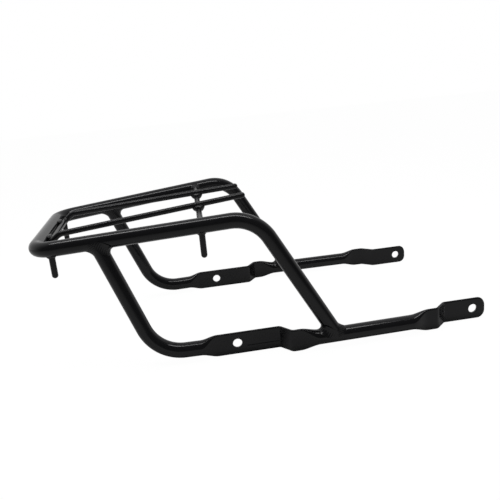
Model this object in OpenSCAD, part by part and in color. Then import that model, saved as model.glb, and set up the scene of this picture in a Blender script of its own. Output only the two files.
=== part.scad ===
// Rear luggage rack for a motorcycle: a bent tube hoop on two pressed lower bars, with a rod frame on top.
// X points to the front of the motorcycle, Y to its left and Z up. The origin lies midway between the two
// rear bolt holes, at the height of the lower bars' axis.

/* [Stock] */
// Outside diameter of the bent tubes
tube_d = 16; // [14:0.5:18]
// Wall of the bent tubes
tube_wall = 1.6; // [1.2:0.1:2]
// Diameter of the solid rods
rod_d = 6.4; // [5:0.1:8]

/* [Hoop] */
// How far the rear tube lies behind the rear bolt holes
rear_back = 193.1; // [180:0.1:205]
// Height of the rear tube above the lower bars
rear_height = 118.9; // [105:0.1:130]
// Half the width between the rear corners
rear_half_w = 85.7; // [78:0.1:95]
// How far the front corners lie ahead of the rear bolt holes
front_ahead = 29.5; // [15:0.5:40]
// Height of the front corners above the lower bars
front_height = 135; // [120:0.5:150]
// Half the width between the front corners
front_half_w = 120.75; // [114:0.25:126]
// Bend radius of the two rear corners
rear_bend_r = 24; // [18:1:30]
// Bend radius where the rails turn down into the struts
front_bend_r = 40; // [30:1:48]
// How far the struts' feet stand ahead of the rear bolt holes
foot_ahead = 104; // [98:0.5:112]

/* [Lower bars] */
// How far the top of each leg lies behind the rear bolt holes
leg_top_back = 130; // [120:1:140]
// How far the corner between leg and bar lies behind the rear bolt holes
leg_corner_back = 84.6; // [78:0.1:92]
// How much further in than the bolt flats each leg corner lies
leg_corner_in = 3; // [0:0.5:8]
// Bend radius between leg and bar
leg_bend_r = 42.6; // [34:0.1:46]
// Half the width between the bolt flats' middles
flat_half_w = 112; // [106:0.5:116]
// How much further out than the bolt flats each bar lies just ahead of its outward joggle
joggle_out_step = 15.5; // [12:0.5:20]
// How much further out than the bolt flats each bar lies just behind its inward joggle
joggle_in_step = 12.6; // [8:0.2:16]
// Distance between the rear and the front bolt holes
bolt_spacing = 264; // [250:1:290]
// Diameter of the bolt holes
bolt_hole_d = 10; // [8:0.5:12]

/* [Pressed stretches] */
// Length of the rear transition from round tube to flat
rear_press = 18; // [14:1:24]
// How far the rear flat runs behind its hole
flat_behind = 21; // [16:1:24]
// How far the rear flat runs ahead of its hole
flat_ahead = 46; // [36:1:50]
// Length over which the outward joggle crosses
joggle_out_run = 10.5; // [8:0.5:14]
// Flattened stretch between the outward joggle and the next transition
joggle_rest = 3.5; // [3:0.5:7]
// Length of the transition from flat back to round tube
mid_press = 21; // [16:1:26]
// Length of the front transition from round tube to flat
front_press = 20; // [14:1:26]
// Flattened stretch behind the inward joggle
front_rest = 10; // [6:1:14]
// Length over which the inward joggle crosses
joggle_in_run = 13; // [10:0.5:16]
// How far the front tab runs behind its hole
tab_behind = 34; // [26:1:40]
// How far the front tab runs past its hole
tab_ahead = 13.5; // [11:0.5:18]
// Corner radius at the tab's end
tab_corner_r = 8; // [3:0.5:10]
// Centre line radius of the joggles' bends
joggle_r = 4.5; // [3.5:0.5:6]
// Depth of the pressed crease on the outer face of the rear flat
crease_depth = 0.5; // [0.3:0.1:0.8]
// Length of the pressed crease
crease_len = 34; // [20:1:38]
// How far the crease lies below the bar's axis
crease_drop = 3.7; // [2:0.1:6]

/* [Inner rod] */
// Half the distance between the legs of the inner rod at the rear
rod_rear_half_w = 54; // [46:1:60]
// Half the distance between the legs of the inner rod at the front
rod_front_half_w = 32; // [24:1:40]
// How far the free ends of the inner rod lie ahead of the rear bolt holes
rod_ahead = 30; // [20:1:40]
// Bend radius of the inner rod's two rear corners
rod_bend_r = 8; // [6:0.5:8.5]
// How far the inner rod's closed end lies above the rear tube's axis
rod_low = -1.5; // [-3:0.1:3]
// Length over which each leg of the inner rod comes down to its rear corner
rod_dip_len = 11.5; // [11.5:0.5:30]
// Bend radius where each leg of the inner rod starts to come down
rod_dip_r = 12; // [8:1:14]

/* [Cross bar and pegs] */
// How far the cross bar's right end and the peg below it lie behind the rear bolt holes
cross_right_back = 24.2; // [15:0.2:35]
// How far the cross bar's left end and the peg below it lie behind the rear bolt holes
cross_left_back = 15; // [10:0.5:30]
// How far the right rear peg lies behind the rear bolt holes
peg_right_back = 175.8; // [168:0.2:178]
// How far the left rear peg lies ahead of the rear tube's axis, under the corner
peg_left_inset = 6; // [2:0.5:10]
// Length of the front pegs, from the rail's axis to the tip
peg_front_len = 33.5; // [26:0.5:42]
// Length of the rear pegs, from the rail's axis to the tip
peg_rear_len = 30.7; // [24:0.1:38]

/* [Welds] */
// Leg length of the large fillets between tube and tube
tube_fillet = 7; // [5:0.5:9]
// How far a weld stands proud of the sides of a joint
weld_proud = 1.2; // [0.8:0.1:1.6]
// Leg length of the fillets round the cross bar's ends
rod_fillet = 2.4; // [1.6:0.2:3.2]
// Leg length of the fillets round the pegs
peg_fillet = 1.5; // [1:0.25:2.5]
// Radius of the beads between the inner rod and the rear tube
rear_bead_r = 2.4; // [1.8:0.1:3]
// Radius of the fillet where the inner rod crosses the cross bar
crossing_r = 6.5; // [5:0.25:8]
// Length of each bead between the inner rod and the rear tube
rear_bead_len = 16; // [10:1:24]
// Half the distance between those two beads' middles
rear_bead_half_w = 38; // [30:1:40]
// Gap left for the weld at each coped end
cope_gap = 0.05; // [0.05:0.05:0.2]
// How much the metal draws in on every side where it is bent
bend_draw = 0.03; // [0.02:0.01:0.05]

/* [Hidden] */
$fn = 64;

// How far a bend laps into the straights beside it
bend_lap = 0.3;
// Thickness of a weld's upper edge
weld_edge = 0.2;

tube_r = tube_d / 2;
bore_r = tube_r - tube_wall;
rod_r = rod_d / 2;
up = [0, 0, 1];

// A pressed stretch is two walls thick and holds the whole girth of the tube
flat_t = 2 * tube_wall;
flat_h = PI * (tube_d - tube_wall) / 2 + tube_wall;

// Corners of the hoop's centre line on the left side
rear_corner = [-rear_back, rear_half_w, rear_height];
front_corner = [front_ahead, front_half_w, front_height];
rail_dir = unit(front_corner - rear_corner);
rear_turn = acos(rail_dir.y);
rear_tangent = rear_bend_r * tan(rear_turn / 2);
platform_slope = atan2(front_height - rear_height, front_ahead + rear_back);

// Plan of the lower bar's centre line on the left side, from the leg's corner to the front tip
leg_corner = [-leg_corner_back, flat_half_w - leg_corner_in, 0];
flat_start = [-flat_behind, flat_half_w, 0];
press_start = flat_start + unit(leg_corner - flat_start) * rear_press;
out_start = [flat_ahead, flat_half_w, 0];
out_end = [flat_ahead + joggle_out_run, flat_half_w + joggle_out_step, 0];
in_end = [bolt_spacing - tab_behind, flat_half_w, 0];
in_start = [in_end.x - joggle_in_run, flat_half_w + joggle_in_step, 0];
tab_tip = [bolt_spacing + tab_ahead, flat_half_w, 0];
out_dir = unit(in_start - out_end);
mid_flat_end = out_end + out_dir * (joggle_rest + joggle_r);
mid_round_start = mid_flat_end + out_dir * mid_press;
front_flat_start = in_start - out_dir * front_rest;
front_round_end = front_flat_start - out_dir * front_press;
foot = bar_point(foot_ahead);
leg_top = rail_point(-leg_top_back);

hoop_line = [
    flip(foot), flip(front_corner), flip(rear_corner), rear_corner, front_corner, foot
];
hoop_bends = [0, front_bend_r, rear_bend_r, rear_bend_r, front_bend_r, 0];
leg_line = [leg_top, leg_corner, press_start];
leg_bends = [0, leg_bend_r, 0];
rear_strip = [flat_start, out_start, out_end, mid_flat_end];
front_strip = [front_flat_start, in_start, in_end, tab_tip];
strip_bends = [0, joggle_r, joggle_r, 0];

// The inner rod lies on top of the cross bar, and its closed end beside the rear tube, both face to face
rod_rise = rod_d;
rod_seat = sqrt(pow(tube_r + rod_r, 2) - pow(rod_low, 2));
rod_length = (rod_ahead + rear_back) / cos(platform_slope);
rod_in = (rod_rear_half_w - rod_front_half_w) / (rod_length - rod_seat);
rod_front = [rod_length, rod_front_half_w, rod_rise];
rod_dip = [rod_seat + rod_dip_len, rod_rear_half_w - rod_dip_len * rod_in, rod_rise];
rod_corner = [rod_seat, rod_rear_half_w, rod_low];
rod_line = [flip(rod_front), flip(rod_dip), flip(rod_corner), rod_corner, rod_dip, rod_front];
rod_bends = [0, rod_dip_r, rod_bend_r, rod_bend_r, rod_dip_r, 0];

cross_right = flip(rail_point(-cross_right_back));
cross_left = rail_point(-cross_left_back);
peg_rear_right_top = flip(rail_point(-peg_right_back));
peg_rear_left_top = rail_point(peg_left_inset - rear_back);

function unit(v) = v / norm(v);
function flip(p) = [p.x, -p.y, p.z];
function turn(p, i) = acos(unit(p[i] - p[i - 1]) * unit(p[i + 1] - p[i]));
function trim(p, bends, i) = (i == 0 || i == len(p) - 1) ? 0 : bends[i] * tan(turn(p, i) / 2);
function smooth(t) = t * t * (3 - 2 * t);

// Height of the platform's plane at a station along X
function rail_z(x) = rear_height + (x + rear_back) * tan(platform_slope);

// Half width of the hoop's centre line in plan, with the rear corner's arc where the station lies in it
function rail_y(x) =
    let (straight = rear_half_w + (x + rear_back) * rail_dir.y / rail_dir.x)
    let (along = (x + rear_back) / cos(platform_slope))
    let (deep = rear_bend_r - along)
    along < rear_tangent * rail_dir.x
        ? rear_half_w - rear_tangent + sqrt(max(0, pow(rear_bend_r, 2) - pow(deep, 2)))
        : straight;
function rail_point(x) = [x, rail_y(x), rail_z(x)];
function bar_point(x) = out_end + out_dir * ((x - out_end.x) / out_dir.x);

// Half thickness and half height of the pressed tube, from round (0) to flat (1)
function press_t(s) = tube_r + (flat_t / 2 - tube_r) * s;
function press_h(s) = tube_r + (flat_h / 2 - tube_r) * s;

// Puts the local X and Y axes along two directions at a point
module place(at, x_dir, y_dir) {
    z_dir = cross(x_dir, y_dir);
    multmatrix([
        [x_dir.x, y_dir.x, z_dir.x, at.x],
        [x_dir.y, y_dir.y, z_dir.y, at.y],
        [x_dir.z, y_dir.z, z_dir.z, at.z],
        [0, 0, 0, 1]
    ]) children();
}

// Puts the local Z axis along a direction, with the local Y axis as upright as it can be
module aim(at, dir) {
    z_dir = unit(dir);
    side = abs(z_dir.z) > 0.9 ? [0, 1, 0] : up;
    x_dir = unit(cross(side, z_dir));
    place(at, x_dir, cross(z_dir, x_dir)) children();
}

module rod_between(a, b, r) {
    aim(a, b - a) cylinder(h = norm(b - a), r = r);
}

// Upright round bar with a dome on its upper end
module domed(length, r) {
    rotate_extrude() {
        square([r, length]);
        translate([0, length]) intersection() {
            circle(r);
            square(r);
        }
    }
}

// Dome on the end of a rod, set a little way into it
module dome_end(at, dir) {
    aim(at - dir * rod_r, dir) domed(rod_r, rod_r - bend_draw);
}

// Sweeps a section round one corner of a centre line, and a little way into the straights at both ends
module corner(p, bends, i) {
    before = unit(p[i] - p[i - 1]);
    after = unit(p[i + 1] - p[i]);
    inward = unit(after - before * (before * after));
    start = p[i] - before * trim(p, bends, i);
    lap = bend_lap / bends[i] * 180 / PI;
    place(start + inward * bends[i], -inward, before)
        rotate([0, 0, -lap]) rotate_extrude(angle = turn(p, i) + 2 * lap) translate([bends[i], 0]) children();
}

// Round bar along a centre line, with its two ends carried on by the given length
module round_run(p, bends, r, carry = 0) {
    last = len(p) - 2;
    for (i = [0 : last]) {
        dir = unit(p[i + 1] - p[i]);
        from = p[i] + dir * (i == 0 ? -carry : trim(p, bends, i));
        to = p[i + 1] - dir * (i == last ? -carry : trim(p, bends, i + 1));
        rod_between(from, to, r);
    }
    for (i = [1 : last]) corner(p, bends, i) circle(r - bend_draw);
}

// Section of a fully pressed tube: thickness along X, height along Y
module flat_section(draw = 0) {
    thick = flat_t - 2 * draw;
    straight = flat_h - flat_t;
    square([thick, straight], center = true);
    for (end = [-1, 1]) translate([0, end * straight / 2]) circle(d = thick);
}

// Pressed strip along a level centre line
module flat_run(p, bends) {
    last = len(p) - 2;
    for (i = [0 : last]) {
        dir = unit(p[i + 1] - p[i]);
        from = p[i] + dir * trim(p, bends, i);
        to = p[i + 1] - dir * trim(p, bends, i + 1);
        place(from, cross(up, dir), up) linear_extrude(norm(to - from)) flat_section();
    }
    for (i = [1 : last]) corner(p, bends, i) flat_section(bend_draw);
}

// Transition from round tube to pressed strip: its rings lie a little inside both neighbours
module press_loft(round_end, flat_end) {
    sides = 28;
    rings = 10;
    inset = 0.1;
    overlap = 0.6;
    forward = flat_end.x > round_end.x ? 1 : -1;
    a = round_end - [forward * overlap, 0, 0];
    b = flat_end + [forward * overlap, 0, 0];
    points = [
        for (k = [0 : rings - 1])
            let (s = smooth(k / (rings - 1)), mid = a + (b - a) * k / (rings - 1))
            let (t = press_t(s) - inset, h = press_h(s) - inset)
            for (i = [0 : sides - 1])
                let (angle = (i + 0.5) * 360 / sides, edge = sin(angle) > 0 ? h - t : t - h)
                [mid.x, mid.y + t * cos(angle), mid.z + edge + t * sin(angle)]
    ];
    walls = [
        for (k = [0 : rings - 2], i = [0 : sides - 1])
            let (j = (i + 1) % sides, p = k * sides + i, q = k * sides + j)
            each forward > 0
                ? [[p, p + sides, q + sides], [p, q + sides, q]]
                : [[p, q + sides, p + sides], [p, q, q + sides]]
    ];
    first = [for (i = [0 : sides - 1]) forward > 0 ? i : sides - 1 - i];
    final = [for (i = [0 : sides - 1]) (rings - 1) * sides + (forward > 0 ? sides - 1 - i : i)];
    polyhedron(points, concat(walls, [first, final]), convexity = 4);
}

// Fillet weld where a tube meets another side on: wedges fore and aft, and a thin collar round the seam
module saddle_weld(at, along, branch) {
    tilt = acos(along * branch);
    reach = 2 * tube_r / sin(tilt) + tube_fillet;
    wedge_w = tube_r * 1.3;
    across = unit(cross(along, branch));
    square_up = cross(across, along);
    tip = [cos(tilt), sin(tilt)] * reach;
    clear = 4 * tube_r;
    difference() {
        union() {
            intersection() {
                rod_between(at, at + branch * clear, tube_r + weld_proud);
                place(at, along, square_up) translate([-clear, 0, -clear])
                    cube([2 * clear, tube_r + weld_proud, 2 * clear]);
            }
            place(at - across * wedge_w / 2, along, square_up)
                linear_extrude(wedge_w) polygon([[-reach, 0], [reach, 0], tip]);
        }
        rod_between(at - along * clear, at + along * clear, tube_r);
        rod_between(at - branch * clear, at + branch * clear, tube_r);
    }
}

// Cone of weld where a rod ends on the side of the hoop, no wider than leaves room for one beside it
module rod_weld(at, branch, fillet) {
    foot_r = min(rod_r + fillet, tube_r * 0.7);
    depth = tube_r - sqrt(pow(tube_r, 2) - pow(foot_r, 2));
    difference() {
        aim(at + branch * (tube_r - depth), branch)
            cylinder(h = depth + fillet, r1 = foot_r, r2 = rod_r + weld_edge);
        hoop_form(cope_gap);
        rod_between(at, at + branch * 3 * tube_r, rod_r);
    }
}

module hoop_form(extra = 0) {
    round_run(hoop_line, hoop_bends, tube_r + extra);
}

// Round parts of one lower bar
module bar_form(extra = 0) {
    round_run(leg_line, leg_bends, tube_r + extra);
    rod_between(mid_round_start, front_round_end, tube_r + extra);
}

module main_hoop() {
    color("#26272b") difference() {
        hoop_form();
        round_run(hoop_line, hoop_bends, bore_r, carry = 1);
        for (side = [0, 1]) mirror([0, side, 0]) rod_between(mid_round_start, front_round_end, tube_r + cope_gap);
    }
}

module lower_bar() {
    difference() {
        union() {
            bar_form();
            press_loft(press_start, flat_start);
            flat_run(rear_strip, strip_bends);
            press_loft(mid_round_start, mid_flat_end);
            press_loft(front_round_end, front_flat_start);
            flat_run(front_strip, strip_bends);
        }
        round_run(leg_line, leg_bends, bore_r);
        rod_between(leg_top, leg_top - unit(leg_corner - leg_top), bore_r);
        rod_between(mid_round_start, front_round_end, bore_r);
        hoop_form(cope_gap);
        for (x = [0, bolt_spacing])
            translate([x, flat_half_w, 0]) rotate([90, 0, 0])
                cylinder(h = flat_h, d = bolt_hole_d, center = true);
        translate([flat_ahead - crease_len - tube_wall, flat_half_w + tube_wall, -crease_drop])
            rotate([0, 90, 0]) cylinder(h = crease_len, r = crease_depth);
        for (end = [-1, 1])
            translate([tab_tip.x - tab_corner_r, flat_half_w, end * (flat_h / 2 - tab_corner_r)])
                tab_corner(end);
    }
}

// What the rounded corner of the tab's end takes away
module tab_corner(end) {
    rotate([90, 0, 0]) linear_extrude(2 * flat_t, center = true) difference() {
        translate([0, end > 0 ? 0 : -flat_h]) square([flat_h, flat_h]);
        circle(tab_corner_r);
    }
}

module lower_bar_left() {
    color("#2b2d31") lower_bar();
}

module lower_bar_right() {
    color("#2b2d31") mirror([0, 1, 0]) lower_bar();
}

// Carries what is drawn in the platform's plane to its place
module on_platform() {
    translate([-rear_back, 0, rear_height]) rotate([0, -platform_slope, 0]) children();
}

module inner_rod() {
    color("#303236") on_platform() {
        round_run(rod_line, rod_bends, rod_r);
        dome_end(rod_front, unit(rod_front - rod_dip));
        dome_end(flip(rod_front), unit(flip(rod_front - rod_dip)));
    }
}

module cross_bar_form() {
    rod_between(cross_right, cross_left, rod_r);
}

module cross_bar() {
    color("#303236") difference() {
        cross_bar_form();
        hoop_form(cope_gap);
    }
}

// Round stop peg with a domed tip, hanging straight down from the rail
module peg(top, length) {
    color("#303236") difference() {
        translate(top) mirror([0, 0, 1]) domed(length - rod_r, rod_r);
        hoop_form(cope_gap);
    }
}

module peg_front_right() {
    peg(cross_right, peg_front_len);
}

module peg_front_left() {
    peg(cross_left, peg_front_len);
}

module peg_rear_right() {
    peg(peg_rear_right_top, peg_rear_len);
}

module peg_rear_left() {
    peg(peg_rear_left_top, peg_rear_len);
}

module weld_leg_left() {
    color("#3a3c40") saddle_weld(leg_top, rail_dir, unit(leg_corner - leg_top));
}

module weld_leg_right() {
    mirror([0, 1, 0]) weld_leg_left();
}

module weld_foot_left() {
    color("#3a3c40") difference() {
        saddle_weld(foot, out_dir, unit(front_corner - foot));
        press_loft(mid_round_start, mid_flat_end);
    }
}

module weld_foot_right() {
    mirror([0, 1, 0]) weld_foot_left();
}

// Bead in the upper groove between the inner rod and the rear tube
module weld_rod_rear_left() {
    span = tube_r + rod_r;
    to_tube = tube_r + rear_bead_r / 2;
    to_rod = rod_r + rear_bead_r / 2;
    lean = acos((span * span + to_tube * to_tube - to_rod * to_rod) / (2 * span * to_tube));
    angle = atan2(rod_low, rod_seat) + lean;
    start = rear_bead_half_w - rear_bead_len / 2;
    color("#3a3c40") on_platform() difference() {
        translate([to_tube * cos(angle), start, to_tube * sin(angle)])
            rotate([-90, 0, 0]) cylinder(h = rear_bead_len, r = rear_bead_r);
        rotate([-90, 0, 0]) cylinder(h = 2 * rear_half_w, r = tube_r, center = true);
        translate([rod_seat, 0, rod_low])
            rotate([-90, 0, 0]) cylinder(h = 2 * rear_half_w, r = rod_r, center = true);
    }
}

module weld_rod_rear_right() {
    mirror([0, 1, 0]) weld_rod_rear_left();
}

// Station where one leg of the inner rod crosses over the cross bar, in the platform's own axes
function to_platform(p) =
    let (x = p.x + rear_back, z = p.z - rear_height, c = cos(platform_slope), s = sin(platform_slope))
    [x * c + z * s, p.y, z * c - x * s];
function meet(a, b, c, d) =
    let (u = b - a, v = d - c, w = c - a)
    a + u * ((w.x * v.y - w.y * v.x) / (u.x * v.y - u.y * v.x));

module weld_crossing(leg_front, leg_rear) {
    a = to_platform(cross_right);
    b = to_platform(cross_left);
    at = meet([a.x, a.y], [b.x, b.y], [leg_rear.x, leg_rear.y], [leg_front.x, leg_front.y]);
    half_h = rod_r * 0.8;
    color("#3a3c40") on_platform() difference() {
        translate([at.x, at.y, rod_r]) for (end = [0, 1]) mirror([0, 0, end])
            cylinder(h = half_h, r1 = crossing_r, r2 = rod_r);
        rod_between(leg_rear, leg_front, rod_r);
        rod_between(a, b, rod_r);
    }
}

module weld_crossing_right() {
    weld_crossing(flip(rod_front), flip(rod_dip));
}

module weld_crossing_left() {
    weld_crossing(rod_front, rod_dip);
}

module weld_cross_end_right() {
    color("#3a3c40") rod_weld(cross_right, unit(cross_left - cross_right), rod_fillet);
}

module weld_cross_end_left() {
    color("#3a3c40") rod_weld(cross_left, unit(cross_right - cross_left), rod_fillet);
}

module weld_peg_front_right() {
    color("#3a3c40") rod_weld(cross_right, -up, peg_fillet);
}

module weld_peg_front_left() {
    color("#3a3c40") rod_weld(cross_left, -up, peg_fillet);
}

module weld_peg_rear_right() {
    color("#3a3c40") rod_weld(peg_rear_right_top, -up, peg_fillet);
}

module weld_peg_rear_left() {
    color("#3a3c40") rod_weld(peg_rear_left_top, -up, peg_fillet);
}

main_hoop();
lower_bar_right();
lower_bar_left();
inner_rod();
cross_bar();
peg_front_right();
peg_front_left();
peg_rear_right();
peg_rear_left();
weld_leg_right();
weld_leg_left();
weld_foot_right();
weld_foot_left();
weld_rod_rear_right();
weld_rod_rear_left();
weld_crossing_right();
weld_crossing_left();
weld_cross_end_right();
weld_cross_end_left();
weld_peg_front_right();
weld_peg_front_left();
weld_peg_rear_right();
weld_peg_rear_left();
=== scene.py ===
import bmesh
import bpy
import math
from mathutils import Matrix, Vector


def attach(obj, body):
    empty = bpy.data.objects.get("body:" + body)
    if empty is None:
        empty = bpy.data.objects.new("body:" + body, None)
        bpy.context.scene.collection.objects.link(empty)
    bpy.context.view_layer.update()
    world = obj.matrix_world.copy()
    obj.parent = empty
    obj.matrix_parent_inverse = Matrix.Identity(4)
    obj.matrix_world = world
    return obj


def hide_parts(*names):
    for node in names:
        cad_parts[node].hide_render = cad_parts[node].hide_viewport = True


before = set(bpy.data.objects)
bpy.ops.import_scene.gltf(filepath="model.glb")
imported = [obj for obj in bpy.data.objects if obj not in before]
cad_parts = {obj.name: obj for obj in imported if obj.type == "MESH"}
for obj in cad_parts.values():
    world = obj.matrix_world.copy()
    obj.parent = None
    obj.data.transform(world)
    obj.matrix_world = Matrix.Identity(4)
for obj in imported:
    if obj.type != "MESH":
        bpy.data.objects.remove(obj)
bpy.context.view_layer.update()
mm = 0.001

# Sizes shared by all the pieces
stock = {
    "tubeRadius": 8 * mm,
    "wall": 1.6 * mm,
    "rodRadius": 3.2 * mm,
    "tubeSides": 64,
    "rodSides": 40,
    "smoothAngle": math.radians(32),
}


# Helpers
def report(stage):
    print("rack:", stage)


def clearSelection():
    if bpy.context.object is not None and bpy.context.object.mode != "OBJECT":
        bpy.ops.object.mode_set(mode="OBJECT")
    bpy.ops.object.select_all(action="DESELECT")


def flip(point):
    return Vector((point.x, -point.y, point.z))


def camel(name):
    first, *others = name.split("_")
    return first + "".join(word.capitalize() for word in others)


def smooth(t):
    return t * t * (3 - 2 * t)


def selectWhere(test):
    # Selects the vertices of the mesh in edit mode that pass a test
    mesh = bmesh.from_edit_mesh(bpy.context.object.data)
    bpy.ops.mesh.select_all(action="DESELECT")
    for vert in mesh.verts:
        vert.select = test(vert)
    mesh.select_flush(True)
    bmesh.update_edit_mesh(bpy.context.object.data)


def pickedRing():
    # Indices and middle of the ring that is selected now
    mesh = bmesh.from_edit_mesh(bpy.context.object.data)
    picked = [vert for vert in mesh.verts if vert.select]
    middle = sum((vert.co for vert in picked), Vector()) / len(picked)
    return {vert.index for vert in picked}, middle


# Rings, runs and bends: a ring is pushed along its run, spun round each bend and closed at its ends
def beginRing(name, at, heading, radius, sides):
    clearSelection()
    bpy.ops.mesh.primitive_circle_add(vertices=sides, radius=radius, location=at)
    ring = bpy.context.object
    ring.name = name
    ring.data.name = name
    ring.rotation_mode = "QUATERNION"
    ring.rotation_quaternion = heading.to_track_quat("Z", "Y")
    bpy.ops.object.transform_apply(location=True, rotation=True, scale=True)
    bpy.ops.object.mode_set(mode="EDIT")
    bpy.ops.mesh.select_all(action="SELECT")
    return ring


def pushRing(step):
    bpy.ops.mesh.extrude_region_move(TRANSFORM_OT_translate={"value": step})


def bendAngle(points, i):
    return (points[i] - points[i - 1]).angle(points[i + 1] - points[i])


def bendTrim(points, bends, i):
    if i == 0 or i == len(points) - 1:
        return 0
    return bends[i] * math.tan(bendAngle(points, i) / 2)


def spinRing(points, bends, i, steps):
    before = (points[i] - points[i - 1]).normalized()
    after = (points[i + 1] - points[i]).normalized()
    inward = (after - before * before.dot(after)).normalized()
    start = points[i] - before * bendTrim(points, bends, i)
    bpy.ops.mesh.spin(
        steps=steps,
        angle=-before.angle(after),
        center=start + inward * bends[i],
        axis=before.cross(after).normalized(),
    )


def runRing(points, bends, steps):
    for i in range(1, len(points)):
        heading = points[i] - points[i - 1]
        length = heading.length - bendTrim(points, bends, i - 1) - bendTrim(points, bends, i)
        pushRing(heading.normalized() * length)
        if i < len(points) - 1:
            spinRing(points, bends, i, steps)


def capFlat():
    bpy.ops.mesh.edge_face_add()


def capDome(heading, radius, rings=8):
    # Pushes the ring out to a half round end and closes its pole
    for k in range(1, rings):
        last, now = (math.pi / 2 * (k - 1) / rings, math.pi / 2 * k / rings)
        pushRing(heading * radius * (math.sin(now) - math.sin(last)))
        middle = pickedRing()[1]
        shrink = math.cos(now) / math.cos(last)
        bpy.ops.transform.resize(value=(shrink, shrink, shrink), center_override=middle)
    pushRing(heading * radius * (1 - math.sin(math.pi / 2 * (rings - 1) / rings)))
    bpy.ops.mesh.merge(type="CENTER")


def pickStart(sides):
    selectWhere(lambda vert: vert.index < sides)


def closeShape(piece, smoothed=True):
    bpy.ops.mesh.select_all(action="SELECT")
    bpy.ops.mesh.normals_make_consistent(inside=False)
    bpy.ops.object.mode_set(mode="OBJECT")
    if smoothed:
        smoothPiece(piece)


def smoothPiece(piece):
    clearSelection()
    piece.select_set(True)
    bpy.context.view_layer.objects.active = piece
    bpy.ops.object.shade_smooth_by_angle(angle=stock["smoothAngle"])


def mirrorCopy(piece, name):
    # The same piece for the other side, with its faces turned to point outwards again
    clearSelection()
    piece.select_set(True)
    bpy.context.view_layer.objects.active = piece
    bpy.ops.object.duplicate()
    other = bpy.context.object
    other.name = name
    other.data.name = name
    other.data.transform(Matrix.Diagonal((1, -1, 1, 1)))
    bpy.ops.object.mode_set(mode="EDIT")
    closeShape(other)
    return other


def cutAway(piece, cutter):
    clearSelection()
    piece.select_set(True)
    bpy.context.view_layer.objects.active = piece
    cut = piece.modifiers.new("cut", "BOOLEAN")
    cut.object = cutter
    cut.operation = "DIFFERENCE"
    cut.solver = "EXACT"
    bpy.ops.object.modifier_apply(modifier=cut.name)
    bpy.data.objects.remove(cutter)


# Where the pieces lie: the platform's plane, the rails and the lower bars
hoop = {
    "rearCorner": Vector((-193.1, 85.7, 118.9)) * mm,
    "frontCorner": Vector((29.5, 120.75, 135)) * mm,
    "rearBend": 24 * mm,
    "frontBend": 40 * mm,
    "footAhead": 104 * mm,
    "bendSteps": 28,
}
bars = {
    "legTopAt": -130 * mm,
    "legCorner": Vector((-84.6, 109, 0)) * mm,
    "legBend": 42.6 * mm,
    "flatHalfWidth": 112 * mm,
    "outHalfWidth": 127.5 * mm,
    "frontOutHalfWidth": 124.6 * mm,
    "boltSpacing": 264 * mm,
    "holeRadius": 5 * mm,
    "holeChamfer": 0.4 * mm,
    "rearPress": 18 * mm,
    "flatBehind": 21 * mm,
    "flatAhead": 46 * mm,
    "joggleOutRun": 10.5 * mm,
    "joggleRest": 3.5 * mm,
    "midPress": 21 * mm,
    "frontPress": 20 * mm,
    "frontRest": 10 * mm,
    "joggleInRun": 13 * mm,
    "tabBehind": 34 * mm,
    "tabAhead": 13.5 * mm,
    "tabCorner": 8 * mm,
    "joggleBend": 4.5 * mm,
    "creaseDepth": 0.5 * mm,
    "creaseLength": 34 * mm,
    "creaseDrop": 3.7 * mm,
    "pressSteps": 18,
    "joggleSteps": 10,
}
slope = (hoop["frontCorner"] - hoop["rearCorner"]).z / (hoop["frontCorner"] - hoop["rearCorner"]).x
railDir = (hoop["frontCorner"] - hoop["rearCorner"]).normalized()
platformUp = Vector((-slope, 0, 1)).normalized()
platformAhead = Vector((1, 0, slope)).normalized()


def railPoint(x):
    # Point of the left rail's centre line at a station, on the rear corner's arc where that lies behind it
    rear = hoop["rearCorner"]
    along = (x - rear.x) / platformAhead.x
    tangent = hoop["rearBend"] * math.tan(math.acos(railDir.y) / 2)
    y = rear.y + (x - rear.x) * railDir.y / railDir.x
    if along < tangent * railDir.x:
        y = rear.y - tangent + math.sqrt(hoop["rearBend"] ** 2 - (hoop["rearBend"] - along) ** 2)
    return Vector((x, y, rear.z + (x - rear.x) * slope))


outEnd = Vector((bars["flatAhead"] + bars["joggleOutRun"], bars["outHalfWidth"], 0))
inEnd = Vector((bars["boltSpacing"] - bars["tabBehind"], bars["flatHalfWidth"], 0))
inStart = Vector((inEnd.x - bars["joggleInRun"], bars["frontOutHalfWidth"], 0))
outDir = (inStart - outEnd).normalized()


def barPoint(x):
    return outEnd + outDir * ((x - outEnd.x) / outDir.x)


footPoint = barPoint(hoop["footAhead"])
legTop = railPoint(bars["legTopAt"])


# Main hoop: one tube from foot to foot
def makeHoop():
    left = [hoop["rearCorner"], hoop["frontCorner"], footPoint]
    points = [flip(point) for point in reversed(left)] + left
    bends = [0, hoop["frontBend"], hoop["rearBend"], hoop["rearBend"], hoop["frontBend"], 0]
    heading = (points[1] - points[0]).normalized()
    piece = beginRing("mainHoop", points[0], heading, stock["tubeRadius"], stock["tubeSides"])
    runRing(points, bends, hoop["bendSteps"])
    capFlat()
    pickStart(stock["tubeSides"])
    capFlat()
    closeShape(piece)
    return piece


# Lower bars: the ring starts in the round stretch and is run both ways from there
def pressRing(target, before, after):
    # Pushes the ring to a new middle and turns its section from one half thickness and height to another
    middle = pickedRing()[1]
    pushRing(target - middle)
    ring, middle = pickedRing()
    scale = after[0] / before[0]
    bpy.ops.transform.resize(value=(1, scale, scale), center_override=middle)
    lift = (after[1] - after[0]) - scale * (before[1] - before[0])
    for side in (1, -1):
        selectWhere(lambda vert: vert.index in ring and (vert.co.z - middle.z) * side > 0)
        bpy.ops.transform.translate(value=(0, 0, lift * side))
    selectWhere(lambda vert: vert.index in ring)


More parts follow.
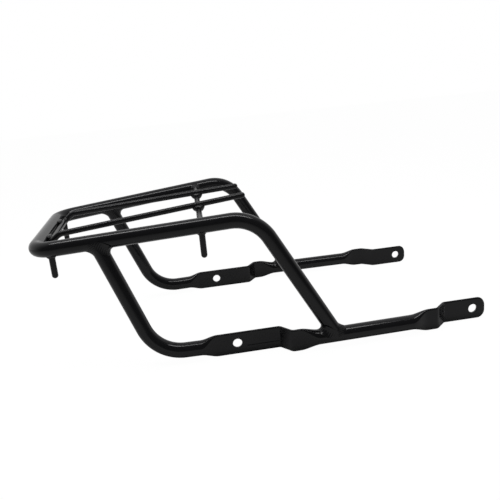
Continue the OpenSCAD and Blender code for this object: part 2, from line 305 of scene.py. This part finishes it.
def sectionAt(s):
    # Half thickness and half height of the tube, from round (0) to pressed flat (1)
    radius = stock["tubeRadius"]
    flatHeight = (math.pi * (2 * radius - stock["wall"]) / 2 + stock["wall"]) / 2
    return (radius + (stock["wall"] - radius) * s, radius + (flatHeight - radius) * s)


def pressRun(start, end, fromFlat):
    steps = bars["pressSteps"]
    for k in range(1, steps + 1):
        old, new = (smooth((k - 1) / steps), smooth(k / steps))
        if fromFlat:
            old, new = (1 - old, 1 - new)
        pressRing(start + (end - start) * k / steps, sectionAt(old), sectionAt(new))


def roundTab(tip):
    # Carries the tab to its rounded end
    thick, high = sectionAt(1)
    corner = bars["tabCorner"]
    steps = 10
    start = tip - Vector((corner, 0, 0))
    pushRing(start - pickedRing()[1])
    last = high
    for k in range(1, steps + 1):
        angle = math.pi / 2 * k / steps
        now = high - corner * (1 - math.cos(angle))
        pressRing(start + Vector((corner * math.sin(angle), 0, 0)), (thick, last), (thick, now))
        last = now
    capFlat()


def makeBoltCutter(x):
    # Round cutter that flares at both faces of the wall, for a hole with eased rims
    radius, chamfer = (bars["holeRadius"], bars["holeChamfer"])
    wall = stock["wall"]
    reach = 3 * wall
    middle = Vector((x, bars["flatHalfWidth"], 0))
    back = Vector((0, -1, 0))
    ring = beginRing("boltCutter", middle - back * reach, back, radius + chamfer + reach - wall, 64)
    stations = [(-wall + chamfer, radius), (wall - chamfer, radius), (reach, radius + chamfer + reach - wall)]
    width = radius + chamfer + reach - wall
    for place, now in stations:
        pushRing(middle + back * place - pickedRing()[1])
        bpy.ops.transform.resize(value=(now / width,) * 3, center_override=pickedRing()[1])
        width = now
    capFlat()
    pickStart(64)
    capFlat()
    closeShape(ring, smoothed=False)
    return ring


def makeCreaseCutter():
    # Slim rod with pointed ends, let half into the outer face of the rear flat
    depth = bars["creaseDepth"]
    start = Vector((
        bars["flatAhead"] - bars["creaseLength"] - stock["wall"],
        bars["flatHalfWidth"] + stock["wall"],
        -bars["creaseDrop"],
    ))
    ahead = Vector((1, 0, 0))
    ring = beginRing("creaseCutter", start, ahead, depth, 12)
    pushRing(ahead * bars["creaseLength"])
    capDome(ahead, depth, rings=3)
    pickStart(12)
    capDome(-ahead, depth, rings=3)
    closeShape(ring, smoothed=False)
    return ring


def makeBar():
    halfWidth = bars["flatHalfWidth"]
    bend = bars["joggleBend"]
    midFlatEnd = outEnd + outDir * (bars["joggleRest"] + bend)
    midRoundStart = midFlatEnd + outDir * bars["midPress"]
    frontFlatStart = inStart - outDir * bars["frontRest"]
    frontRoundEnd = frontFlatStart - outDir * bars["frontPress"]
    tip = Vector((bars["boltSpacing"] + bars["tabAhead"], halfWidth, 0))
    flatStart = Vector((-bars["flatBehind"], halfWidth, 0))
    outStart = Vector((bars["flatAhead"], halfWidth, 0))
    pressStart = flatStart + (bars["legCorner"] - flatStart).normalized() * bars["rearPress"]
    sides = stock["tubeSides"]
    piece = beginRing("lowerBarLeft", footPoint, Vector((1, 0, 0)), stock["tubeRadius"], sides)
    # Half a step of turn keeps every vertex off the level plane through the axis
    bpy.ops.object.mode_set(mode="OBJECT")
    turn = Matrix.Rotation(math.pi / sides, 4, "X")
    piece.data.transform(Matrix.Translation(footPoint) @ turn @ Matrix.Translation(-footPoint))
    bpy.ops.object.mode_set(mode="EDIT")
    bpy.ops.mesh.select_all(action="SELECT")
    # Forwards to the front tab
    pushRing(frontRoundEnd - footPoint)
    pressRun(frontRoundEnd, frontFlatStart, fromFlat=False)
    strip = [frontFlatStart, inStart, inEnd, tip - Vector((2 * bars["tabCorner"], 0, 0))]
    runRing(strip, [0, bend, bend, 0], bars["joggleSteps"])
    roundTab(tip)
    # Backwards over the rear flat and up the leg
    pickStart(sides)
    pushRing(midRoundStart - footPoint)
    pressRun(midRoundStart, midFlatEnd, fromFlat=False)
    runRing([midFlatEnd, outEnd, outStart, flatStart], [0, bend, bend, 0], bars["joggleSteps"])
    pressRun(flatStart, pressStart, fromFlat=True)
    runRing([pressStart, bars["legCorner"], legTop], [0, bars["legBend"], 0], hoop["bendSteps"])
    capFlat()
    closeShape(piece, smoothed=False)
    for x in (0, bars["boltSpacing"]):
        cutAway(piece, makeBoltCutter(x))
    cutAway(piece, makeCreaseCutter())
    smoothPiece(piece)
    return piece


# Rods: the inner rod, the cross bar and the pegs
rods = {
    "rearHalfWidth": 54 * mm,
    "frontHalfWidth": 32 * mm,
    "endsAhead": 30 * mm,
    "bend": 8 * mm,
    "closedEndRise": -1.5 * mm,
    "dipLength": 11.5 * mm,
    "dipBend": 12 * mm,
    "bendSteps": 20,
    "crossRight": -24.2 * mm,
    "crossLeft": -15 * mm,
    "pegRearRight": -175.8 * mm,
    "pegRearLeftInset": 6 * mm,
    "pegFrontLength": 33.5 * mm,
    "pegRearLength": 30.7 * mm,
}
crossRight = flip(railPoint(rods["crossRight"]))
crossLeft = railPoint(rods["crossLeft"])


def onPlatform(ahead, y, lift):
    rear = Vector((hoop["rearCorner"].x, 0, hoop["rearCorner"].z))
    return rear + platformAhead * ahead + Vector((0, y, 0)) + platformUp * lift


# The inner rod lies on top of the cross bar, and its closed end beside the rear tube
rise = 2 * stock["rodRadius"]
seat = math.sqrt((stock["tubeRadius"] + stock["rodRadius"]) ** 2 - rods["closedEndRise"] ** 2)
rodReach = (rods["endsAhead"] - hoop["rearCorner"].x) / platformAhead.x
rodIn = (rods["rearHalfWidth"] - rods["frontHalfWidth"]) / (rodReach - seat)
rodHalf = [
    onPlatform(seat, rods["rearHalfWidth"], rods["closedEndRise"]),
    onPlatform(seat + rods["dipLength"], rods["rearHalfWidth"] - rods["dipLength"] * rodIn, rise),
    onPlatform(rodReach, rods["frontHalfWidth"], rise),
]
rodLine = [flip(point) for point in reversed(rodHalf)] + rodHalf
rodBends = [0, rods["dipBend"], rods["bend"], rods["bend"], rods["dipBend"], 0]


def makeRod(name, points, bends, domed):
    # Round rod along a line of points, domed or flat at its two ends
    heading = (points[1] - points[0]).normalized()
    piece = beginRing(name, points[0], heading, stock["rodRadius"], stock["rodSides"])
    runRing(points, bends, rods["bendSteps"])
    for end, outward in ((1, (points[-1] - points[-2]).normalized()), (0, -heading)):
        if end == 0:
            pickStart(stock["rodSides"])
        if domed[end]:
            capDome(outward, stock["rodRadius"])
        else:
            capFlat()
    closeShape(piece)
    return piece


def makePeg(name, top, length):
    tip = top - Vector((0, 0, length - stock["rodRadius"]))
    return makeRod(name, [top, tip], [0, 0], (False, True))


# Welds: beads laid round the seams, and lumps where the rods lie against one another
beads = {
    "tube": {"branch": stock["tubeRadius"], "fillet": 7.5 * mm, "swell": 0.11, "segments": 240},
    "cross": {"branch": stock["rodRadius"], "fillet": 3.4 * mm, "swell": 0.3, "segments": 120},
    "peg": {"branch": stock["rodRadius"], "fillet": 2.1 * mm, "swell": 0.3, "segments": 96},
    "faceSteps": 12,
    "backSteps": 4,
    "sideShare": 0.42,
    "openPower": 0.6,
    "edgeSink": 0.25 * mm,
    "rootDepth": 1.2 * mm,
    "rippleHeight": 0.16 * mm,
    "ripplePitch": 1.9 * mm,
    "rippleCurl": 1.4,
}
lumps = {
    "segments": 64,
    "rings": 32,
    "ripple": 0.22 * mm,
    "rippleCurl": 1.5,
    "rippleShift": 1.1,
    "crossingRadius": 6.4 * mm,
    "crossingHeight": 5 * mm,
    "crossingDrop": 1.4 * mm,
    "crossingTaper": 0.45,
    "rearRadius": 2.5 * mm,
    "rearLength": 16 * mm,
    "rearHalfWidth": 38 * mm,
}


def seamPoint(at, mainDir, mainRadius, branchDir, outward):
    # Where the branch's surface line on one side meets the main tube
    across = outward - mainDir * outward.dot(mainDir)
    up = branchDir - mainDir * branchDir.dot(mainDir)
    inner = across.dot(up)
    root = max(0, inner ** 2 - up.length_squared * (across.length_squared - mainRadius ** 2))
    return at + outward + branchDir * ((-inner + math.sqrt(root)) / up.length_squared)


def makeWeld(name, at, mainDir, branchDir, kind):
    # A ring of weld laid on the seam between a branch and the tube that it stands on
    around, branchRadius, fillet = (kind["segments"], kind["branch"], kind["fillet"])
    face = beads["faceSteps"]
    section = face + beads["backSteps"]
    clearSelection()
    bpy.ops.mesh.primitive_torus_add(
        major_segments=around, minor_segments=section, major_radius=2 * branchRadius, minor_radius=fillet / 2
    )
    piece = bpy.context.object
    piece.name = name
    piece.data.name = name
    sideways = mainDir.cross(branchDir).normalized()
    forth = sideways.cross(branchDir).normalized()
    ripples = round(2 * math.pi * (branchRadius + fillet / 2) / beads["ripplePitch"])
    for i in range(around):
        turn = 2 * math.pi * (i + 0.5) / around
        normalB = forth * math.cos(turn) + sideways * math.sin(turn)
        seam = seamPoint(at, mainDir, stock["tubeRadius"], branchDir, normalB * branchRadius)
        fromAxis = seam - at
        normalA = (fromAxis - mainDir * fromAxis.dot(mainDir)).normalized()
        openness = max(0, 1 - normalA.dot(normalB))
        share = min(1, openness) ** beads["openPower"]
        size = fillet * (beads["sideShare"] + (1 - beads["sideShare"]) * share)
        alongA = (normalB - normalA * normalB.dot(normalA)).normalized()
        alongB = (normalA - normalB * normalA.dot(normalB)).normalized()
        footA = seam + alongA * size - normalA * beads["edgeSink"]
        footB = seam + alongB * size - normalB * beads["edgeSink"]
        bulge = normalA + normalB
        middle = seam + bulge * size * kind["swell"]
        inside = seam - bulge.normalized() * beads["rootDepth"]
        for j in range(section):
            if j < face:
                t = j / (face - 1)
                spot = footA * (1 - t) ** 2 + middle * 2 * t * (1 - t) + footB * t ** 2
                fade = math.sin(math.pi * t)
                wave = math.sin(ripples * turn + beads["rippleCurl"] * fade)
                spot = spot + bulge.normalized() * beads["rippleHeight"] * fade * wave
            else:
                t = (j - face + 1) / (section - face + 1)
                spot = footB * (1 - t) ** 2 + inside * 2 * t * (1 - t) + footA * t ** 2
            piece.data.vertices[i * section + j].co = spot
    piece.matrix_world = Matrix.Identity(4)
    bpy.ops.object.mode_set(mode="EDIT")
    closeShape(piece)
    return piece


def makeLump(name, at, axes, radii, taper=0):
    # A rippled lump of weld: a ball stretched along three axes, and narrower below where it tapers
    clearSelection()
    bpy.ops.mesh.primitive_uv_sphere_add(segments=lumps["segments"], ring_count=lumps["rings"], radius=1)
    piece = bpy.context.object
    piece.name = name
    piece.data.name = name
    turns = 2 * math.pi / beads["ripplePitch"]
    for vert in piece.data.vertices:
        x, y, z = vert.co
        wave = math.sin(turns * radii[0] * x + lumps["rippleCurl"] * y)
        wave += math.sin(turns * radii[1] * y + lumps["rippleShift"])
        grow = 1 + lumps["ripple"] / radii[2] * wave / 2 * (1 - abs(z))
        wide = grow * (1 + taper * z)
        level = axes[0] * x * radii[0] * wide + axes[1] * y * radii[1] * wide
        vert.co = at + level + axes[2] * z * radii[2] * grow
    bpy.ops.object.mode_set(mode="EDIT")
    closeShape(piece)
    return piece


def crossingPoint(legEnd, legRear):
    # Where a leg of the inner rod touches the cross bar
    bar = crossLeft - crossRight
    leg = legRear - legEnd
    start = legEnd - crossRight
    share = (start.x * bar.y - start.y * bar.x) / (leg.y * bar.x - leg.x * bar.y)
    return legEnd + leg * share - platformUp * stock["rodRadius"]


# Nodes that the paint, the floor and the room share
def addMath(tree, operation, *sources):
    # One step of arithmetic on sockets or plain numbers
    node = tree.nodes.new("ShaderNodeMath")
    node.operation = operation
    for socket, source in zip(node.inputs, sources):
        if isinstance(source, (int, float)):
            socket.default_value = source
        else:
            tree.links.new(source, socket)
    return node.outputs["Value"]


def addRamp(tree, source, start, end, low=0, high=1):
    node = tree.nodes.new("ShaderNodeMapRange")
    for name, value in (("From Min", start), ("From Max", end), ("To Min", low), ("To Max", high)):
        node.inputs[name].default_value = value
    tree.links.new(source, node.inputs["Value"])
    return node.outputs["Result"]


def farness(tree, output):
    # Y of the place or the direction that is being shaded
    coords = tree.nodes.new("ShaderNodeTexCoord")
    split = tree.nodes.new("ShaderNodeSeparateXYZ")
    tree.links.new(coords.outputs[output], split.inputs["Vector"])
    return split.outputs["Y"]


def rayKinds(tree):
    # Camera rays, and the rays that paint mirrors or glass lets through
    path = tree.nodes.new("ShaderNodeLightPath")
    mirrored = addMath(tree, "MAXIMUM", path.outputs["Is Glossy Ray"], path.outputs["Is Transmission Ray"])
    return path.outputs["Is Camera Ray"], mirrored


# Paint: one group gives the slow waves, the fine skin and the faint dust of sprayed gloss paint
paint = {
    "colour": (0.003, 0.003, 0.0036, 1),
    "dusty": (0.03, 0.03, 0.032, 1),
    "mirror": 1.35,
    "bumpDepth": 0.4 * mm,
    "dustScale": 34,
    "dustBreak": 0.6,
    "dustEdges": (0.42, 0.75),
    "tube": {"roughness": 0.14, "dust": 0.05, "bump": 0.003, "wave": 140, "fine": 0.03},
    "rod": {"roughness": 0.24, "dust": 0.08, "bump": 0.003, "wave": 160, "fine": 0.04},
    "weld": {"roughness": 0.24, "dust": 0.1, "bump": 0.04, "wave": 600, "fine": 0.2},
}


def addNoise(tree, detail):
    noise = tree.nodes.new("ShaderNodeTexNoise")
    noise.inputs["Detail"].default_value = detail
    return noise


def buildPaintSkin():
    group = bpy.data.node_groups.new("paintSkin", "ShaderNodeTree")
    inputs = {"Wave Scale": 420.0, "Fine Scale": 2600.0, "Fine Share": 0.25, "Roughness": 0.14, "Dust": 0.1}
    for name, value in inputs.items():
        group.interface.new_socket(name, in_out="INPUT", socket_type="NodeSocketFloat").default_value = value
    group.interface.new_socket("Colour", in_out="INPUT", socket_type="NodeSocketColor")
    group.interface.new_socket("Dusty Colour", in_out="INPUT", socket_type="NodeSocketColor")
    group.interface.new_socket("Colour", in_out="OUTPUT", socket_type="NodeSocketColor")
    group.interface.new_socket("Roughness", in_out="OUTPUT", socket_type="NodeSocketFloat")
    group.interface.new_socket("Height", in_out="OUTPUT", socket_type="NodeSocketFloat")
    nodes, links = (group.nodes, group.links)
    source = nodes.new("NodeGroupInput")
    sink = nodes.new("NodeGroupOutput")
    coords = nodes.new("ShaderNodeTexCoord")
    wave = addNoise(group, 2)
    fine = addNoise(group, 1)
    patch = addNoise(group, 5)
    patch.inputs["Scale"].default_value = paint["dustScale"]
    patch.inputs["Roughness"].default_value = paint["dustBreak"]
    for texture in (wave, fine, patch):
        links.new(coords.outputs["Object"], texture.inputs["Vector"])
    links.new(source.outputs["Wave Scale"], wave.inputs["Scale"])
    links.new(source.outputs["Fine Scale"], fine.inputs["Scale"])
    height = nodes.new("ShaderNodeMix")
    links.new(source.outputs["Fine Share"], height.inputs[0])
    links.new(wave.outputs["Fac"], height.inputs[2])
    links.new(fine.outputs["Fac"], height.inputs[3])
    links.new(height.outputs[0], sink.inputs["Height"])
    mask = addRamp(group, patch.outputs["Fac"], *paint["dustEdges"])
    dust = addMath(group, "MULTIPLY", mask, source.outputs["Dust"])
    rough = addMath(group, "ADD", source.outputs["Roughness"], dust)
    links.new(rough, sink.inputs["Roughness"])
    colour = nodes.new("ShaderNodeMix")
    colour.data_type = "RGBA"
    links.new(dust, colour.inputs[0])
    links.new(source.outputs["Colour"], colour.inputs[6])
    links.new(source.outputs["Dusty Colour"], colour.inputs[7])
    links.new(colour.outputs[2], sink.inputs["Colour"])
    return group


paintSkin = buildPaintSkin()


def makePaint(name, look):
    material = bpy.data.materials.new(name)
    material.use_nodes = True
    nodes, links = (material.node_tree.nodes, material.node_tree.links)
    shader = nodes["Principled BSDF"]
    shader.inputs["IOR"].default_value = paint["mirror"]
    skin = nodes.new("ShaderNodeGroup")
    skin.node_tree = paintSkin
    skin.inputs["Wave Scale"].default_value = look["wave"]
    skin.inputs["Fine Share"].default_value = look["fine"]
    skin.inputs["Roughness"].default_value = look["roughness"]
    skin.inputs["Dust"].default_value = look["dust"]
    skin.inputs["Colour"].default_value = paint["colour"]
    skin.inputs["Dusty Colour"].default_value = paint["dusty"]
    bump = nodes.new("ShaderNodeBump")
    bump.inputs["Strength"].default_value = look["bump"]
    bump.inputs["Distance"].default_value = paint["bumpDepth"]
    links.new(skin.outputs["Colour"], shader.inputs["Base Color"])
    links.new(skin.outputs["Roughness"], shader.inputs["Roughness"])
    links.new(skin.outputs["Height"], bump.inputs["Height"])
    links.new(bump.outputs["Normal"], shader.inputs["Normal"])
    return material


paints = {
    "painted_tube": makePaint("paintedTube", paint["tube"]),
    "painted_rod": makePaint("paintedRod", paint["rod"]),
    "painted_weld": makePaint("paintedWeld", paint["weld"]),
}
report("paint mixed")


def fit(piece, node, slotName):
    piece.data.materials.clear()
    piece.data.materials.append(paints[slotName])
    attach(piece, "root")
    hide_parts(node)


# Tubes
fit(makeHoop(), "main_hoop", "painted_tube")
report("hoop bent")
barLeft = makeBar()
barRight = mirrorCopy(barLeft, "lowerBarRight")
fit(barLeft, "lower_bar_left", "painted_tube")
fit(barRight, "lower_bar_right", "painted_tube")
report("lower bars pressed and drilled")

# Rods
innerRod = makeRod("innerRod", rodLine, rodBends, (True, True))
fit(innerRod, "inner_rod", "painted_rod")
fit(makeRod("crossBar", [crossRight, crossLeft], [0, 0], (False, False)), "cross_bar", "painted_rod")
pegs = {
    "front_right": (crossRight, rods["pegFrontLength"]),
    "front_left": (crossLeft, rods["pegFrontLength"]),
    "rear_right": (flip(railPoint(rods["pegRearRight"])), rods["pegRearLength"]),
    "rear_left": (railPoint(hoop["rearCorner"].x + rods["pegRearLeftInset"]), rods["pegRearLength"]),
}
for place, (top, length) in pegs.items():
    fit(makePeg(camel("peg_" + place), top, length), "peg_" + place, "painted_rod")
report("rods bent and pegs set")

# Welds between tubes
down = Vector((0, 0, -1))
legDir = (bars["legCorner"] - legTop).normalized()
strutDir = (hoop["frontCorner"] - footPoint).normalized()
seams = {"leg": (legTop, railDir, legDir), "foot": (footPoint, outDir, strutDir)}
for place, (at, mainDir, branchDir) in seams.items():
    weld = makeWeld(place + "WeldLeft", at, mainDir, branchDir, beads["tube"])
    other = mirrorCopy(weld, place + "WeldRight")
    fit(weld, "weld_" + place + "_left", "painted_weld")
    fit(other, "weld_" + place + "_right", "painted_weld")

# Welds at the ends of the cross bar and round the pegs
inward = (crossLeft - crossRight).normalized()
flipRail = flip(railDir)
ends = {"right": (crossRight, flipRail, inward), "left": (crossLeft, railDir, -inward)}
for side, (at, along, branch) in ends.items():
    weld = makeWeld(camel("crossEnd_" + side), at, along, branch, beads["cross"])
    fit(weld, "weld_cross_end_" + side, "painted_weld")
for place, (top, length) in pegs.items():
    along = flipRail if place.endswith("right") else railDir
    if place == "rear_left":
        # This peg stands under the corner's bend, so its seam follows the bend there
        behind = hoop["rearCorner"].x + hoop["rearBend"] - top.x
        along = Vector((math.sqrt(hoop["rearBend"] ** 2 - behind ** 2), behind, 0)).normalized()
    weld = makeWeld(camel("pegWeld_" + place), top, along, down, beads["peg"])
    fit(weld, "weld_peg_" + place, "painted_weld")

# Lumps where the inner rod crosses the cross bar and where it lies on the rear tube
for side, legEnd, legRear in (("right", rodLine[0], rodLine[1]), ("left", rodLine[5], rodLine[4])):
    leg = (legRear - legEnd).normalized()
    axes = (leg, platformUp.cross(leg), platformUp)
    radii = (lumps["crossingRadius"], lumps["crossingRadius"], lumps["crossingHeight"])
    at = crossingPoint(legEnd, legRear) - platformUp * lumps["crossingDrop"]
    lump = makeLump(camel("crossing_" + side), at, axes, radii, lumps["crossingTaper"])
    fit(lump, "weld_crossing_" + side, "painted_weld")
toTube = stock["tubeRadius"] + lumps["rearRadius"] / 2
toRod = stock["rodRadius"] + lumps["rearRadius"] / 2
span = stock["tubeRadius"] + stock["rodRadius"]
lean = math.acos((span ** 2 + toTube ** 2 - toRod ** 2) / (2 * span * toTube))
lean += math.atan2(rods["closedEndRise"], seat)
for side, halfWidth in (("right", -lumps["rearHalfWidth"]), ("left", lumps["rearHalfWidth"])):
    at = onPlatform(toTube * math.cos(lean), halfWidth, toTube * math.sin(lean))
    axes = (Vector((0, 1, 0)), platformAhead, platformUp)
    radii = (lumps["rearLength"] / 2, lumps["rearRadius"], lumps["rearRadius"])
    lump = makeLump(camel("rearBead_" + side), at, axes, radii)
    fit(lump, "weld_rod_rear_" + side, "painted_weld")
report("welds laid")

# Camera at the photograph's place
view = {
    "place": Vector((-52.16, -693.27, 267.06)) * mm,
    "turn": Vector((1.83817, -0.20396, 0.02376)),
    "lens": 43.19,
    "sensor": 36,
    "nearest": 0.01,
}
camera = bpy.data.objects.new("camera", bpy.data.cameras.new("camera"))
bpy.context.scene.collection.objects.link(camera)
camera.data.lens = view["lens"]
camera.data.sensor_width = view["sensor"]
camera.data.clip_start = view["nearest"]
rows = Matrix.Rotation(view["turn"].length, 3, view["turn"].normalized())
right, drop, ahead = (rows[0], rows[1], rows[2])
camera.matrix_world = Matrix.Translation(view["place"]) @ Matrix((right, -drop, -ahead)).transposed().to_4x4()
bpy.context.scene.camera = camera

# Floor: white to the camera but for a share of the object's shadow, and white in the paint far behind
ground = {
    "level": -12.1 * mm,
    "size": 8,
    "colour": (0.4, 0.4, 0.4, 1),
    "roughness": 0.9,
    "shadowShare": 0.05,
    "glow": 1.03,
    "whiteFrom": 0.4,
    "whiteTo": 1.6,
}


def makeFloor():
    clearSelection()
    bpy.ops.mesh.primitive_plane_add(size=ground["size"], location=(0, 0, ground["level"]))
    floor = bpy.context.object
    floor.name = "floor"
    material = bpy.data.materials.new("whiteFloor")
    material.use_nodes = True
    tree = material.node_tree
    matt = tree.nodes["Principled BSDF"]
    matt.inputs["Base Color"].default_value = ground["colour"]
    matt.inputs["Roughness"].default_value = ground["roughness"]
    matt.inputs["Specular IOR Level"].default_value = 0
    glow = tree.nodes.new("ShaderNodeEmission")
    glow.inputs["Strength"].default_value = ground["glow"]
    camera, mirrored = rayKinds(tree)
    seen = addMath(tree, "MULTIPLY", camera, 1 - ground["shadowShare"])
    behind = addRamp(tree, farness(tree, "Object"), ground["whiteFrom"], ground["whiteTo"])
    white = addMath(tree, "MAXIMUM", seen, addMath(tree, "MULTIPLY", mirrored, behind))
    blend = tree.nodes.new("ShaderNodeMixShader")
    tree.links.new(white, blend.inputs["Fac"])
    tree.links.new(matt.outputs["BSDF"], blend.inputs[1])
    tree.links.new(glow.outputs["Emission"], blend.inputs[2])
    tree.links.new(blend.outputs["Shader"], tree.nodes["Material Output"].inputs["Surface"])
    floor.data.materials.append(material)


# Room: white where the camera looks, and darker on the camera's own side for what the paint mirrors
walls = {
    "allRound": 0.6,
    "nearSide": 0.12,
    "farSide": 0.7,
    "turnsFrom": -0.35,
    "turnsTo": 0.25,
}


def makeRoom():
    world = bpy.data.worlds.new("room")
    bpy.context.scene.world = world
    world.use_nodes = True
    tree = world.node_tree
    edges = (walls["turnsFrom"], walls["turnsTo"], walls["nearSide"], walls["farSide"])
    depth = addRamp(tree, farness(tree, "Generated"), *edges)
    camera, mirrored = rayKinds(tree)
    room = tree.nodes.new("ShaderNodeMix")
    room.inputs[2].default_value = walls["allRound"]
    tree.links.new(mirrored, room.inputs[0])
    tree.links.new(depth, room.inputs[3])
    plain = addMath(tree, "MAXIMUM", camera, room.outputs[0])
    tree.links.new(plain, tree.nodes["Background"].inputs["Color"])
    tree.nodes["Background"].inputs["Strength"].default_value = 1


makeFloor()
makeRoom()

# Lamps: a broad one overhead and a slim one for the bright line along the rails
lamps = {
    "overhead": {"place": (-0.1, 0.15, 1.1), "size": (0.9, 0.5), "power": 9, "mirrored": False},
    "strip": {"place": (-0.05, -0.15, 0.95), "size": (1.1, 0.12), "power": 4.5, "mirrored": True},
}
for name, lamp in lamps.items():
    light = bpy.data.objects.new(name, bpy.data.lights.new(name, "AREA"))
    bpy.context.scene.collection.objects.link(light)
    light.data.shape = "RECTANGLE"
    light.data.size, light.data.size_y = lamp["size"]
    light.data.energy = lamp["power"]
    light.location = lamp["place"]
    light.visible_glossy = lamp["mirrored"]
    light.rotation_euler = (-Vector(lamp["place"])).to_track_quat("-Z", "Y").to_euler()
bpy.context.scene.view_settings.view_transform = "Standard"
report("room lit")
